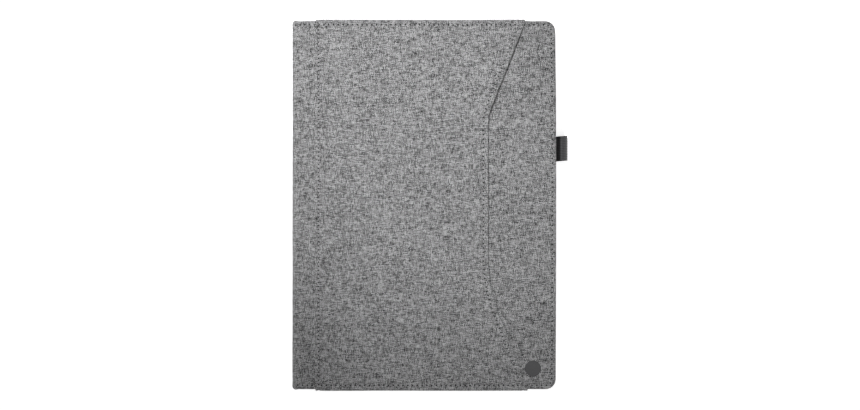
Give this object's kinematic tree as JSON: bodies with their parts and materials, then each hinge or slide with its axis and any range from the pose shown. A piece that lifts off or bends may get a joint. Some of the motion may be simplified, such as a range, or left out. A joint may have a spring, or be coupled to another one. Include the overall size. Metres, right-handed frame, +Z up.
{
  "type": "tablet case",
  "caption": "Closed fabric folio case for a tablet: two stiff covers and a folding spine, a moulded tray inside, a slanted front pocket and an elastic pen loop.",
  "frame": {"origin": "middle of the back cover's outer face, which the closed case rests on", "axes": "+X towards the fore-edge with the pen loop, +Y towards the head of the case, +Z up through the front cover"},
  "size_m": [0.1933, 0.26, 0.0173],
  "materials": {
    "cover_fabric": "heathered plain-weave cloth",
    "pocket_fabric": "heathered plain-weave cloth",
    "pocket_back": "thin woven backing",
    "lining": "brushed microfibre",
    "board": "grey board",
    "bond": "double-sided bonding film",
    "tray_plastic": "fine matt moulded",
    "bumper_plastic": "fine matt moulded",
    "trim_plastic": "matt moulded",
    "thread": "twisted polyester thread",
    "magnet": "nickel-plated",
    "label": "matt printed",
    "elastic": "ribbed elastic webbing"
  },
  "bodies": {
    "back_cover": {"back_outer_fabric": "cover_fabric", "back_board": "board", "back_lining": "lining", "tray_bond_sheet": "bond", "tray_plate": "tray_plastic", "tray_bumper": "bumper_plastic", "camera_ring": "trim_plastic", "pen_loop_tab": "elastic", "back_seam_thread": "thread"},
    "spine": {"spine_outer_fabric": "cover_fabric", "spine_board": "board", "spine_lining": "lining", "spine_seam_thread": "thread"},
    "front_cover": {"front_outer_fabric": "cover_fabric", "front_board": "board", "front_lining": "lining", "cover_magnets": "magnet", "pocket_panel": "pocket_fabric", "pocket_lining": "pocket_back", "front_seam_thread": "thread", "pocket_side_thread": "thread", "pocket_hem_thread": "thread", "blank_label": "label"},
    "loop": {"pen_loop": "elastic"}
  },
  "joints": [
    {"name": "back_fold", "type": "hinge", "parent": "back_cover", "child": "spine", "pos_m": [-0.09103, 0, 0.00132], "axis": [0, -1, 0], "range_deg": [0, 90]},
    {"name": "front_fold", "type": "hinge", "parent": "spine", "child": "front_cover", "pos_m": [-0.09103, 0, 0.01478], "axis": [0, -1, 0], "range_deg": [0, 90]},
    {"name": "loop_swing", "type": "hinge", "parent": "back_cover", "child": "loop", "pos_m": [0.093, 0.0394, 0.0016], "axis": [0, -1, 0], "range_deg": [-20, 20], "stiffness_Nm_per_rad": 0.003}
  ]
}
